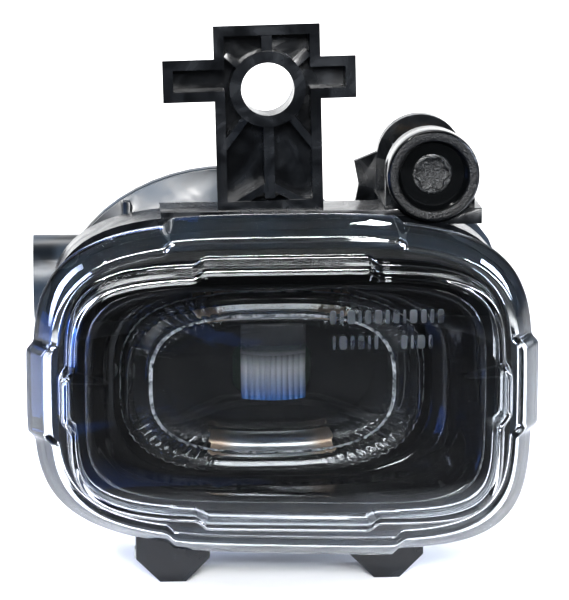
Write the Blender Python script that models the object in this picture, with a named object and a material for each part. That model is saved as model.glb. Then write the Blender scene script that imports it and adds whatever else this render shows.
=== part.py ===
"""Car fog light: an LED lamp that tilts in a moulded bracket, aimed by one adjusting screw.

+X is to the right of someone facing the lamp, +Y points into the car and +Z up. The origin is
the centre of the bracket's fixing hole, on the rear face of its tab. Most pieces are laid out
about the lens centre instead, on the front plane of the lens flange, and LENS_CENTRE places it.
"""
import bpy
import bmesh
import numpy as np
from math import cos, sin, pi, radians
from mathutils import Matrix, Vector

MM = 0.001

# Whole lamp. Places are measured from the lens centre.
LENS_CENTRE = Vector((2.6, -26.0, -61.7)) * MM
GAP = 0.3 * MM                 # between pieces that touch
WALL = 2.2 * MM                # moulded walls

# Lens: half sizes, squareness of the outlines, depths.
LENS_BACK = (53.0 * MM, 35.6 * MM, 3.6)
LENS_RING = (49.6 * MM, 32.2 * MM, 3.7)
LENS_STEP = (46.0 * MM, 27.4 * MM, 4.8)
LENS_SKIRT_Y = 6.5 * MM
LENS_PANE_Y = -7.3 * MM
LENS_BUMP = (1.4 * MM, 23.2 * MM, 8.5 * MM, 2.4 * MM)   # rise, half spans, length of the jog
LENS_SLANT = 1.2               # growth of the lower half, per metre to the right
LENS_TOE = 1.22                # the lower right corner is squarer by this factor
STEP_BUMP = (1.6 * MM, 16.7 * MM, 4.0 * MM, 3.0 * MM)

# Housing: rim behind the lens, neck through the bracket, flange of the rear chamber.
RIM_Y = (4.0 * MM, 6.8 * MM, 9.0 * MM)
NECK = (44.3 * MM, 30.0 * MM, 4.2)
NECK_END_Y = 34.0 * MM
FLANGE_Y = 36.4 * MM
FLARE = (32.5 * MM, 5.4 * MM)  # where the neck starts to flare to the flange, and by how much
FLARE_RIB = (-33.2 * MM, -31.8 * MM, 32.9 * MM, 36.0 * MM, 26.0 * MM, 35.2 * MM)
REAR_TOP = 41.9 * MM           # crown of the rear chamber, on the connector's side
REAR_LOW_TOP = 31.6 * MM       # its lower shoulder, under the adjuster
REAR_LEFT = 48.4 * MM
REAR_RIGHT = 49.0 * MM
REAR_BOTTOM = 34.5 * MM
COVER_Y = (38.0 * MM, 40.4 * MM, 58.0 * MM)
COVER_INSET = 6.8 * MM
SCREW_INSET = 3.4 * MM
VENT = (20.0 * MM, -12.0 * MM)
CORNER_MIDDLES = (3, 17, 29, 36)   # places of the four screws along the rear outline

# Optics and light source.
OPTIC = (32.9 * MM, 20.7 * MM, 3.0)
OPTIC_X = -2.2 * MM
OPTIC_Y = (9.0 * MM, 24.0 * MM)
GUIDE = (14.0 * MM, 17.0 * MM)
GUIDE_AT = (-1.6 * MM, 3.6 * MM)
HOLDER_Y = (24.3 * MM, 26.9 * MM)
HOLDER_SCREWS = (-37.4 * MM, 36.0 * MM)
BOARD_SCREWS = ((-20 * MM, -10 * MM), (20 * MM, 10 * MM))
BOARD_Y = (27.3 * MM, 28.9 * MM)
SINK_Y = (29.7 * MM, 32.7 * MM, 50.0 * MM)
FIN_COUNT = 8
FIN_SPAN = 22.4 * MM           # half the run of the fins

# Bracket: frame round the neck, tab, feet.
FRAME_Y = (16.0 * MM, 28.5 * MM)
FRAME_OUT = (50.2 * MM, 35.2 * MM, 4.0)
FRAME_IN = (46.4 * MM, 31.9 * MM, 4.2)
SHELF_TOP = 35.8 * MM
TAB_HOLE = (-2.6 * MM, 61.7 * MM)
TAB_Y = (18.0 * MM, 23.5 * MM, 26.0 * MM)
TAB_ROLL = radians(-1.3)       # lean of the tab about its hole
TAB_HALF = 11.3 * MM
TAB_TOP = 13.7 * MM
TAB_ARMS = (-22.2 * MM, 18.8 * MM, -2.3 * MM, 6.7 * MM)
HOLE_R = 5.65 * MM
BOSS_R = 8.1 * MM
RIB = 2.2 * MM
TAB_DRAFT = 1.2 * MM           # the tab is this much smaller all round at its back

# Tilt: pivot axis along X through the two feet.
PIVOT = (24.0 * MM, -41.5 * MM)
FOOT_X = 23.5 * MM
FOOT_TOP_W = 16.0 * MM
FOOT_LOW_W = 5.6 * MM
FOOT_Z = (-33.0 * MM, -41.4 * MM, -46.6 * MM)
FOOT_Y = (18.0 * MM, 30.0 * MM)
PIN_R = 1.5 * MM
LUG_W = 4.0 * MM
LUG_R = 3.4 * MM
LUG_TOP = -28.2 * MM             # within the housing's wall

# Adjuster: screw along Y between two plates, nut held in the housing's fork.
SCREW = (32.4 * MM, 43.4 * MM)
HEAD_R = 9.9 * MM
HEAD_Y = (13.0 * MM, 18.9 * MM)
PLATE_R = 9.6 * MM
FRONT_PLATE_Y = (19.2 * MM, 22.2 * MM)
REAR_PLATE_Y = (39.0 * MM, 42.0 * MM)
SHAFT_R = 2.9 * MM
THREAD_R = 2.3 * MM
JOURNAL_R = 1.9 * MM
NUT_Y = 31.15 * MM
NUT_NECK = 7.4 * MM
NUT_FLANGE = 10.4 * MM
FORK_T = 3.0 * MM
FORK_HALF = 6.9 * MM
FORK_Z = (23.4 * MM, 47.6 * MM)

# Connector socket, axis along X.
SOCKET = (47.8 * MM, 15.8 * MM)
SOCKET_R = 9.5 * MM
SOCKET_X = (-53.2 * MM, -38.0 * MM)
SOCKET_BORE_R = 7.6 * MM
PIN_GAP = 5.0 * MM


# ---- scene, materials and shape tools ------------------------------------------------------

for old in list(bpy.data.objects):
    bpy.data.objects.remove(old)


def material(name, colour, roughness, metallic=0.0, clear=0.0):
    """A Principled material; clear is its transmission."""
    made = bpy.data.materials.new(name)
    made.use_nodes = True
    shader = made.node_tree.nodes["Principled BSDF"]
    shader.inputs["Base Color"].default_value = (*colour, 1.0)
    shader.inputs["Roughness"].default_value = roughness
    shader.inputs["Metallic"].default_value = metallic
    shader.inputs["Transmission Weight"].default_value = clear
    return made


def empty(name, place, parent=None):
    """An axis marker: the pieces parented to it move together."""
    made = bpy.data.objects.new(name, None)
    made.empty_display_size = 0.01
    bpy.context.collection.objects.link(made)
    made.location = place
    made.parent = parent
    return made


def new_object(name, shape):
    mesh = bpy.data.meshes.new(name)
    bmesh.ops.recalc_face_normals(shape, faces=shape.faces)
    shape.to_mesh(mesh)
    shape.free()
    made = bpy.data.objects.new(name, mesh)
    bpy.context.collection.objects.link(made)
    return made


def piece(name, shape, finish, axis, angle=35):
    """A named sub-part laid out about the lens centre and carried by an axis marker."""
    made = new_object(name, shape)
    made.data.materials.append(finish)
    made.data.shade_smooth()
    made.data.set_sharp_from_angle(angle=radians(angle))
    made.parent = axis
    made.location = LENS_CENTRE - axis.location
    return made


def combine(target, operation, *shapes, label="shape"):
    """Joins or cuts the target with hidden helper solids."""
    for number, shape in enumerate(shapes):
        tool = new_object(f"tool_{target.name}_{label}_{operation.lower()}_{number}", shape)
        tool.location = LENS_CENTRE
        tool.hide_render = True
        tool.display_type = "WIRE"
        tool.hide_set(True)
        step = target.modifiers.new(tool.name, "BOOLEAN")
        step.operation = operation
        step.solver = "EXACT"
        step.object = tool


def loft(rings, loop=False):
    """Bridges rings of equal length; the ends are capped, or joined to each other for a tube."""
    shape = bmesh.new()
    rows = [[shape.verts.new(point) for point in ring] for ring in rings]
    pairs = list(zip(rows, rows[1:])) + ([(rows[-1], rows[0])] if loop else [])
    for first, second in pairs:
        for i in range(len(first)):
            j = (i + 1) % len(first)
            shape.faces.new((first[i], first[j], second[j], second[i]))
    if not loop:
        shape.faces.new(rows[0][::-1])
        shape.faces.new(rows[-1])
    return shape


def oval_angles(count, size=None, marks=()):
    """Evenly spaced angles, plus those where a superellipse reaches the given x or z marks."""
    angles = list(np.linspace(0, 2 * pi, count, endpoint=False))
    for along, value in marks:
        half = size[0] if along == "x" else size[1]
        turn = np.arccos((value / half) ** (size[2] / 2))
        turn = turn if along == "x" else pi / 2 - turn
        angles += [turn, pi - turn, pi + turn, 2 * pi - turn]
    return sorted(angles)


def ramp(distance, span, jog):
    """1 inside the span, 0 beyond it, straight along the jog between."""
    return float(np.clip((span + jog - abs(distance)) / jog, 0, 1))


def oval(size, y, angles, centre=(0.0, 0.0), bump=None, slant=False):
    """Superellipse ring in the XZ plane, with an optional raised stretch amid each side.

    With slant, its lower half grows taller to the right, as the lens does.
    """
    half_x, half_z, power = size
    points = []
    for angle in angles:
        toe = slant and sin(angle) < 0 < cos(angle)
        root = 2 / (power * LENS_TOE) if toe else 2 / power
        x = half_x * np.sign(cos(angle)) * abs(cos(angle)) ** root
        z = half_z * np.sign(sin(angle)) * abs(sin(angle)) ** root
        if slant and z < 0:
            z *= 1 + LENS_SLANT * x
        if bump:
            rise, span_x, span_z, jog = bump
            if abs(z) / half_z > abs(x) / half_x:
                z += np.sign(z) * rise * ramp(x, span_x, jog)
            else:
                x += np.sign(x) * rise * ramp(z, span_z, jog)
        points.append(Vector((x + centre[0], y, z + centre[1])))
    return points


def shrink(size, by):
    return (size[0] - by, size[1] - by, size[2])


def box(x0, x1, y0, y1, z0, z1):
    shape = bmesh.new()
    bmesh.ops.create_cube(shape, size=1.0)
    middle = Vector((x0 + x1, y0 + y1, z0 + z1)) / 2
    bmesh.ops.scale(shape, vec=(x1 - x0, y1 - y0, z1 - z0), verts=shape.verts)
    bmesh.ops.translate(shape, vec=middle, verts=shape.verts)
    return shape


def prism(outline, y0, y1):
    """An outline of (x, z) points, extruded along Y."""
    return loft([[Vector((x, y, z)) for x, z in outline] for y in (y0, y1)])


def lathe(profile, centre, axis="Y", sides=32):
    """Turns a profile of (distance along the axis, radius) about an axis along Y or X."""
    rings = []
    for along, radius in profile:
        ring = []
        for i in range(sides):
            a = radius * cos(2 * pi * i / sides)
            b = radius * sin(2 * pi * i / sides)
            if axis == "Y":
                ring.append(Vector((centre[0] + a, along, centre[1] + b)))
            else:
                ring.append(Vector((along, centre[0] + a, centre[1] + b)))
        rings.append(ring)
    return rings


def rod(start, end, radius, centre, axis="Y", sides=24):
    return loft(lathe([(start, radius), (end, radius)], centre, axis, sides))


def rounded_plate(centre, half, low, y0, y1, sides=20):
    """Plate with straight sides down to low and a round top about the centre."""
    arc = [(centre[0] + half * cos(pi * i / sides), centre[1] + half * sin(pi * i / sides))
           for i in range(sides + 1)]
    return prism(arc + [(centre[0] - half, low), (centre[0] + half, low)], y0, y1)


def at_y(points, y):
    return [Vector((point.x, y, point.z)) for point in points]


black = material("black_moulding", (0.012, 0.013, 0.015), 0.32)
gloss_black = material("gloss_black_bezel", (0.008, 0.008, 0.009), 0.12)
clear = material("clear_lens", (0.95, 0.97, 0.98), 0.03, clear=1.0)
rubber = material("seal_rubber", (0.02, 0.02, 0.02), 0.7)
silvered = material("silvered_strip", (0.8, 0.78, 0.74), 0.2, metallic=1.0)
aluminium = material("cast_aluminium", (0.6, 0.61, 0.62), 0.45, metallic=1.0)
steel = material("plated_steel", (0.55, 0.55, 0.53), 0.3, metallic=1.0)
brass = material("tinned_brass", (0.72, 0.6, 0.36), 0.3, metallic=1.0)
board = material("circuit_board", (0.02, 0.12, 0.06), 0.5)
phosphor = material("led_phosphor", (0.8, 0.6, 0.12), 0.5)
pad_grey = material("thermal_pad", (0.4, 0.4, 0.42), 0.8)

bracket_axis = empty("bracket_origin", (0, 0, 0))
tilt_axis = empty("tilt_axis", LENS_CENTRE + Vector((0, PIVOT[0], PIVOT[1])))
screw_axis = empty("screw_axis", LENS_CENTRE + Vector((SCREW[0], NUT_Y, SCREW[1])))
nut_axis = empty("nut_slide", LENS_CENTRE + Vector((SCREW[0], NUT_Y, SCREW[1])))


# ---- bracket -------------------------------------------------------------------------------

def cross_outline(inset):
    """The tab's cross about its hole, inset all round; it runs down past the shelf."""
    half = TAB_HALF - inset
    left, right, low, high = TAB_ARMS
    left, right, low, high = left + inset, right - inset, low + inset, high - inset
    foot = -27.0 * MM + inset * 1.4
    top = TAB_TOP - inset
    return [(-half, foot), (-half, low), (left, low), (left, high), (-half, high), (-half, top),
            (half, top), (half, high), (right, high), (right, low), (half, low), (half, foot)]


def lean(shape):
    """Turns a shape drawn about the tab's hole by the tab's lean and carries it to the hole."""
    turn = Matrix.Rotation(TAB_ROLL, 4, "Y")
    move = Matrix.Translation((TAB_HOLE[0], 0, TAB_HOLE[1]))
    bmesh.ops.transform(shape, matrix=move @ turn, verts=shape.verts)
    return shape


def rib(start, end, width, y0, y1):
    """A straight rib of the tab between two (x, z) points."""
    run = Vector((end[0] - start[0], end[1] - start[1]))
    side = Vector((-run.y, run.x)).normalized() * width / 2
    corners = [(start[0] + side.x, start[1] + side.y), (start[0] - side.x, start[1] - side.y),
               (end[0] - side.x, end[1] - side.y), (end[0] + side.x, end[1] + side.y)]
    return prism(corners, y0, y1)


def tab_shapes():
    """The ribs and the boss of the tab, drawn about its hole."""
    front, web, back = TAB_Y
    ribs = [rod(front, back - 0.1 * MM, BOSS_R, (0, 0), sides=40)]
    reach = BOSS_R - 1.2 * MM
    spokes = ((90, 12.4, RIB), (270, 23.5, RIB), (140, 11.6, 1.4 * MM), (40, 11.6, 1.4 * MM),
              (232, 16.4, 1.6 * MM), (308, 16.4, 1.6 * MM))
    for degrees, far, width in spokes:
        way = (cos(radians(degrees)), sin(radians(degrees)))
        start = (way[0] * reach, way[1] * reach)
        end = (way[0] * far * MM, way[1] * far * MM)
        ribs.append(rib(start, end, width, front + 0.4 * MM, web + 0.5 * MM))
    low = -25.6 * MM
    for side in (-1, 1):
        ribs.append(rib((0, -20.6 * MM), (side * 8.8 * MM, low), 1.6 * MM,
                        front + 0.4 * MM, web + 0.5 * MM))
    return [lean(shape) for shape in ribs]


def foot_outline(x):
    """A foot seen from the front: square shoulders and a chamfered toe."""
    wide, toe = FOOT_TOP_W / 2, FOOT_LOW_W / 2
    top, knee, low = FOOT_Z
    return [(x - wide, top), (x - wide, knee), (x - toe, low), (x + toe, low),
            (x + wide, knee), (x + wide, top)]


def build_bracket():
    around = oval_angles(64)
    frame = loft([oval(FRAME_OUT, FRAME_Y[0], around), oval(FRAME_OUT, FRAME_Y[1], around),
                  oval(FRAME_IN, FRAME_Y[1], around), oval(FRAME_IN, FRAME_Y[0], around)],
                 loop=True)
    bracket = piece("mount_bracket", frame, black, bracket_axis)
    shelf_low = 32.6 * MM
    shelf_x = (-25.5 * MM, 43.2 * MM)
    cradle_x = (SCREW[0] - PLATE_R - 0.5 * MM, shelf_x[1])
    plate_low = shelf_low + 0.4 * MM
    wing = [(18.1, 33.4), (18.9, 37.5), (17.9, 42.6), (22.9, 44.6), (24.5, 44.0), (24.5, 33.4)]
    combine(bracket, "UNION",
            box(*shelf_x, FRAME_Y[0] + 0.1 * MM, FRAME_Y[1] - 0.1 * MM, shelf_low, SHELF_TOP),
            box(*cradle_x, FRAME_Y[0] + 0.2 * MM, REAR_PLATE_Y[1] + 0.5 * MM, plate_low,
                SHELF_TOP + 0.2 * MM),
            rounded_plate(SCREW, PLATE_R, plate_low + 0.2 * MM, *FRONT_PLATE_Y),
            rounded_plate(SCREW, PLATE_R, plate_low + 0.2 * MM, *REAR_PLATE_Y),
            prism([(x * MM, z * MM) for x, z in wing], REAR_PLATE_Y[0] + 0.6 * MM,
                  REAR_PLATE_Y[1] - 0.6 * MM),
            prism(foot_outline(-FOOT_X), *FOOT_Y), prism(foot_outline(FOOT_X), *FOOT_Y),
            lean(loft([[Vector((x, y, z)) for x, z in cross_outline(inset)]
                       for y, inset in ((TAB_Y[0], 0), (TAB_Y[2], TAB_DRAFT))])))
    combine(bracket, "DIFFERENCE",
            lean(prism(cross_outline(RIB), TAB_Y[0] - 1 * MM, TAB_Y[1])))
    combine(bracket, "UNION", *tab_shapes(), label="rib")
    slot_half = LUG_W / 2 + 0.6 * MM
    cuts = [lean(rod(TAB_Y[0] - 1 * MM, TAB_Y[2] + 1 * MM, HOLE_R, (0, 0), sides=40)),
            rod(FRONT_PLATE_Y[0] - 1 * MM, FRONT_PLATE_Y[1] + 1 * MM, SHAFT_R + GAP, SCREW),
            rod(REAR_PLATE_Y[0] - 1 * MM, REAR_PLATE_Y[1] + 1 * MM, JOURNAL_R + GAP, SCREW),
            rod(HEAD_Y[0], FRONT_PLATE_Y[0], HEAD_R + 2 * GAP, SCREW, sides=40),
            box(SCREW[0] - FORK_HALF - 0.6 * MM, SCREW[0] + FORK_HALF + 0.6 * MM,
                24.6 * MM, 37.8 * MM, FORK_Z[0] + 1 * MM, SHELF_TOP + 1 * MM)]
    for side in (-1, 1):
        x = side * FOOT_X
        cuts.append(box(x - slot_half, x + slot_half, FOOT_Y[0] + 2 * MM, FOOT_Y[1] + 1 * MM,
                        -45.4 * MM, -28 * MM))
        cuts.append(rod(x - FOOT_TOP_W, x + FOOT_TOP_W, PIN_R + GAP, PIVOT, "X"))
    combine(bracket, "DIFFERENCE", *cuts)
    for name, side in (("pivot_pin_left", -1), ("pivot_pin_right", 1)):
        reach = FOOT_TOP_W / 2 + 0.4 * MM
        x = side * FOOT_X
        piece(name, rod(x - reach, x + reach, PIN_R, PIVOT, "X", 20), steel, bracket_axis)


# ---- adjuster ------------------------------------------------------------------------------

def star(centre, y0, y1, inner, outer, points=6):
    """Six-lobed drive recess."""
    outline = []
    for i in range(points * 4):
        turn = 2 * pi * i / (points * 4)
        reach = (inner + outer) / 2 + (outer - inner) / 2 * cos(points * turn)
        outline.append((centre[0] + reach * cos(turn), centre[1] + reach * sin(turn)))
    return prism(outline, y0, y1)


def build_adjuster():
    front, back = HEAD_Y
    clip_y = (FRONT_PLATE_Y[1] + GAP, FRONT_PLATE_Y[1] + GAP + 0.8 * MM)
    profile = [(front + 3.6 * MM, 5.2 * MM), (front + 3.0 * MM, 6.6 * MM),
               (front + 0.5 * MM, 8.4 * MM), (front, 8.8 * MM), (front, HEAD_R - 0.4 * MM),
               (front + 0.5 * MM, HEAD_R), (back - 0.5 * MM, HEAD_R), (back, HEAD_R - 0.6 * MM),
               (back, SHAFT_R), (clip_y[0] - 0.1 * MM, SHAFT_R),
               (clip_y[0] - 0.1 * MM, THREAD_R), (REAR_PLATE_Y[0] - 0.5 * MM, THREAD_R),
               (REAR_PLATE_Y[0] - 0.5 * MM, JOURNAL_R), (REAR_PLATE_Y[1] + 1.5 * MM, JOURNAL_R)]
    screw = piece("adjuster_screw", loft(lathe(profile, SCREW, sides=40)), black, screw_axis)
    combine(screw, "DIFFERENCE", star(SCREW, front + 2 * MM, front + 5 * MM, 2.7 * MM, 3.4 * MM))
    inner, outer = THREAD_R + GAP, THREAD_R + 2.3 * MM
    clip = lathe([(clip_y[0], inner), (clip_y[0], outer), (clip_y[1], outer),
                  (clip_y[1], inner)], SCREW, sides=24)
    piece("adjuster_clip", loft(clip, loop=True), steel, screw_axis)

    length, groove = 5.6 * MM, 3.9 * MM
    x, z = SCREW
    neck, flange = NUT_NECK / 2, NUT_FLANGE / 2
    nut = piece("adjuster_nut", box(x - neck, x + neck, NUT_Y - length / 2 + 0.1 * MM,
                                    NUT_Y + length / 2 - 0.1 * MM, z - neck, z + neck),
                brass, nut_axis)
    ends = [(NUT_Y - length / 2, NUT_Y - groove / 2), (NUT_Y + groove / 2, NUT_Y + length / 2)]
    combine(nut, "UNION", *[box(x - flange, x + flange, y0, y1, z - flange, z + flange)
                            for y0, y1 in ends])
    combine(nut, "DIFFERENCE", rod(NUT_Y - length, NUT_Y + length, THREAD_R + GAP, SCREW))


# ---- lamp shell ----------------------------------------------------------------------------

def build_lens():
    marks = [("x", LENS_BUMP[1]), ("x", LENS_BUMP[1] + LENS_BUMP[3]), ("z", LENS_BUMP[2]),
             ("z", LENS_BUMP[2] + LENS_BUMP[3]), ("x", STEP_BUMP[1]),
             ("x", STEP_BUMP[1] + STEP_BUMP[3]), ("z", STEP_BUMP[2] + STEP_BUMP[3])]
    around = oval_angles(48, LENS_RING, marks)
    pane = shrink(LENS_STEP, 0.5 * MM)
    wall = WALL
    rings = [oval(shrink(pane, 0.6 * MM), LENS_PANE_Y, around, bump=STEP_BUMP, slant=True),
             oval(pane, LENS_PANE_Y + 0.6 * MM, around, bump=STEP_BUMP, slant=True),
             oval(LENS_STEP, 0.0, around, bump=STEP_BUMP, slant=True),
             oval(LENS_RING, 0.0, around, bump=LENS_BUMP, slant=True),
             oval(LENS_BACK, LENS_SKIRT_Y, around, bump=LENS_BUMP, slant=True),
             oval(shrink(LENS_BACK, wall), LENS_SKIRT_Y, around, bump=LENS_BUMP, slant=True),
             oval(shrink(LENS_RING, wall * 0.6), wall, around, bump=LENS_BUMP, slant=True),
             oval(shrink(LENS_STEP, wall), wall, around, bump=STEP_BUMP, slant=True),
             oval(shrink(pane, wall), LENS_PANE_Y + wall, around, bump=STEP_BUMP, slant=True)]
    piece("outer_lens", loft(rings), clear, tilt_axis)


def build_seals():
    around = oval_angles(56)
    outer = shrink(LENS_RING, 1.8 * MM)
    inner = (46.0 * MM, 28.4 * MM, 4.4)
    y0, y1 = WALL + GAP, RIM_Y[0] - GAP
    seal = [oval(size, y, around, slant=True)
            for size, y in ((outer, y0), (outer, y1), (inner, y1), (inner, y0))]
    piece("lens_seal", loft(seal, loop=True), rubber, tilt_axis)
    y0, y1 = FLANGE_Y + GAP, COVER_Y[0] - GAP
    outer, inner = rear_outline(5.2 * MM), rear_outline(COVER_INSET + WALL - 0.4 * MM)
    seal = [at_y(outer, y0), at_y(outer, y1), at_y(inner, y1), at_y(inner, y0)]
    piece("rear_seal", loft(seal, loop=True), rubber, tilt_axis)


def corner(centre, half_x, half_z, start, end, steps):
    """Points of an elliptical corner, between two angles in degrees."""
    return [Vector((centre[0] + half_x * cos(radians(a)), 0, centre[1] + half_z * sin(radians(a))))
            for a in np.linspace(start, end, steps)]


def rear_outline(inset=0.0):
    """Outline of the rear chamber: a high round crown over the connector, a low shoulder.

    With inset, every side of it stands that much further in.
    """
    r = 12.0 * MM
    left, right, low = REAR_LEFT - r, REAR_RIGHT - r, r - REAR_BOTTOM
    crown = (-10.0 * MM, 10.0 * MM)
    bend = r - inset
    points = corner((right, REAR_LOW_TOP - r), bend, bend, 0, 90, 7)
    step = ((14.5 * MM, REAR_LOW_TOP), (10.5 * MM, REAR_LOW_TOP + 3 * MM),
            (8.5 * MM, REAR_TOP - 2.5 * MM), (5.5 * MM, REAR_TOP - 0.3 * MM))
    points += [Vector((x - inset, 0, z - inset)) for x, z in step]
    points += corner(crown, REAR_LEFT + crown[0] - inset, REAR_TOP - crown[1] - inset, 90, 180, 15)
    points += corner((-left, low), bend, bend, 180, 270, 7)
    points += corner((right, low), bend, bend, 270, 360, 7)
    return points


def lug(x):
    """Pivot lug under the housing, with a round end about the pivot axis."""
    outline = [(PIVOT[0] + LUG_R * cos(radians(a)), PIVOT[1] + LUG_R * sin(radians(a)))
               for a in range(180, 361, 15)]
    outline += [(PIVOT[0] + LUG_R, LUG_TOP), (PIVOT[0] - LUG_R, LUG_TOP)]
    rings = [[Vector((side, y, z)) for y, z in outline]
             for side in (x - LUG_W / 2, x + LUG_W / 2)]
    return loft(rings)


def screw_spots():
    """Centres of the four cover screws, set in from the middle of each corner."""
    middle = rear_outline(SCREW_INSET)
    return [(middle[i].x, middle[i].z) for i in CORNER_MIDDLES]


SCREW_SPOTS = screw_spots()


def build_housing():
    around = oval_angles(60)
    front = (47.8 * MM, 30.4 * MM, 3.8)
    lip = shrink(LENS_BACK, WALL + 1.0 * MM)
    rim = shrink(LENS_BACK, 0.4 * MM)
    bore = shrink(NECK, WALL)
    seat, rim_front, rim_back = RIM_Y
    neck_end = FLANGE_Y - 0.2 * MM
    rings = [oval(size, y, around, slant=True)
             for size, y in (((45.6 * MM, 27.9 * MM, 4.4), seat), (front, seat),
                             (lip, rim_front - 0.4 * MM), (lip, rim_front), (rim, rim_front),
                             (rim, rim_back))]
    rings += [oval(size, y, around)
              for size, y in ((NECK, rim_back + 2 * MM), (NECK, neck_end), (bore, neck_end),
                              (bore, rim_back + 3 * MM))]
    housing = piece("housing", loft(rings, loop=True), black, tilt_axis)
    edge = rear_outline()
    flare_y, flare_inset = FLARE
    flange = loft([at_y(rear_outline(flare_inset), flare_y), at_y(edge, NECK_END_Y + 1.4 * MM),
                   at_y(edge, FLANGE_Y)])
    opening = shrink(bore, 0.4 * MM)
    mouth = loft([oval(opening, y, around) for y in (flare_y - 1 * MM, FLANGE_Y + 1 * MM)])
    x, z = SCREW
    slot = NUT_NECK / 2 + GAP
    low, high = FORK_Z
    base = z - slot - GAP
    arm = [(x - FORK_HALF, low), (x - FORK_HALF, high), (x - slot, high), (x - slot, base),
           (x + slot, base), (x + slot, high), (x + FORK_HALF, high), (x + FORK_HALF, low)]
    combine(housing, "UNION", flange, box(*FLARE_RIB), lug(-FOOT_X), lug(FOOT_X),
            prism(arm, NUT_Y - FORK_T / 2, NUT_Y + FORK_T / 2))
    cuts = [mouth, rod(-40 * MM, 40 * MM, PIN_R + GAP, PIVOT, "X")]
    cuts += [rod(NECK_END_Y + 0.8 * MM, FLANGE_Y + 1 * MM, 1.3 * MM + GAP, spot, sides=16)
             for spot in SCREW_SPOTS]
    combine(housing, "DIFFERENCE", *cuts)


def build_rear_cover():
    start, shoulder, end = COVER_Y
    # From the outside of the back wall, over the flange, to the inside of the back wall.
    walk = ((3.4, end), (2.0, end - 1.2 * MM), (0.8, end - 4 * MM), (0.0, shoulder),
            (None, shoulder), (None, start), (2.2, start), (2.9, end - 5 * MM),
            (3.8, end - WALL))
    rings = [at_y(rear_outline(0.0 if inset is None else COVER_INSET + inset * MM), y)
             for inset, y in walk]
    cover = piece("rear_cover", loft(rings), black, tilt_axis)
    combine(cover, "UNION", rod(SOCKET_X[0], SOCKET_X[1], SOCKET_R, SOCKET, "X", 32))
    hollow = rod(SOCKET_X[0] - 1 * MM, -43.0 * MM, SOCKET_BORE_R, SOCKET, "X", 28)
    throat = rod(-44.0 * MM, SOCKET_X[1] + 5 * MM, 5.0 * MM, SOCKET, "X", 24)
    cuts = [hollow, throat, rod(end - 6 * MM, end + 1 * MM, 2.4 * MM, VENT, sides=20)]
    cuts += [rod(start - 1 * MM, shoulder + 1 * MM, 1.3 * MM + GAP, spot, sides=16)
             for spot in SCREW_SPOTS]
    combine(cover, "DIFFERENCE", *cuts)


def pan_screw(spot, head_y, tip_y, head_r, shank_r, sides=16):
    """Self-tapping pan-head screw driven towards -Y, with a cross-recess in its head."""
    side = 1 if head_y > tip_y else -1
    rings = lathe([(tip_y, shank_r * 0.6), (tip_y + side * 0.8 * MM, shank_r), (head_y, shank_r),
                   (head_y, head_r), (head_y + side * 1.2 * MM, head_r * 0.92),
                   (head_y + side * 1.9 * MM, head_r * 0.55)], spot, sides=sides)
    return loft(rings)


def build_fasteners():
    for number, spot in enumerate(SCREW_SPOTS, 1):
        piece(f"cover_screw_{number}", pan_screw(spot, COVER_Y[1] + GAP, NECK_END_Y + 1.2 * MM,
                                                 3.0 * MM, 1.3 * MM), steel, tilt_axis)


def build_vent():
    end = COVER_Y[2]
    stem = lathe([(end - 4.6 * MM, 1.2 * MM), (end - 4.6 * MM, 2.1 * MM), (end + GAP, 2.1 * MM),
                  (end + GAP, 5.0 * MM), (end + 2.6 * MM, 5.0 * MM), (end + 3.2 * MM, 4.4 * MM),
                  (end + 3.2 * MM, 1.2 * MM)], VENT, sides=24)
    piece("vent_cap", loft(stem, loop=True), rubber, tilt_axis)
    piece("vent_membrane", rod(end - 2.4 * MM, end - 2.0 * MM, 0.9 * MM, VENT, sides=16),
          pad_grey, tilt_axis)


# ---- optics --------------------------------------------------------------------------------

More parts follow.
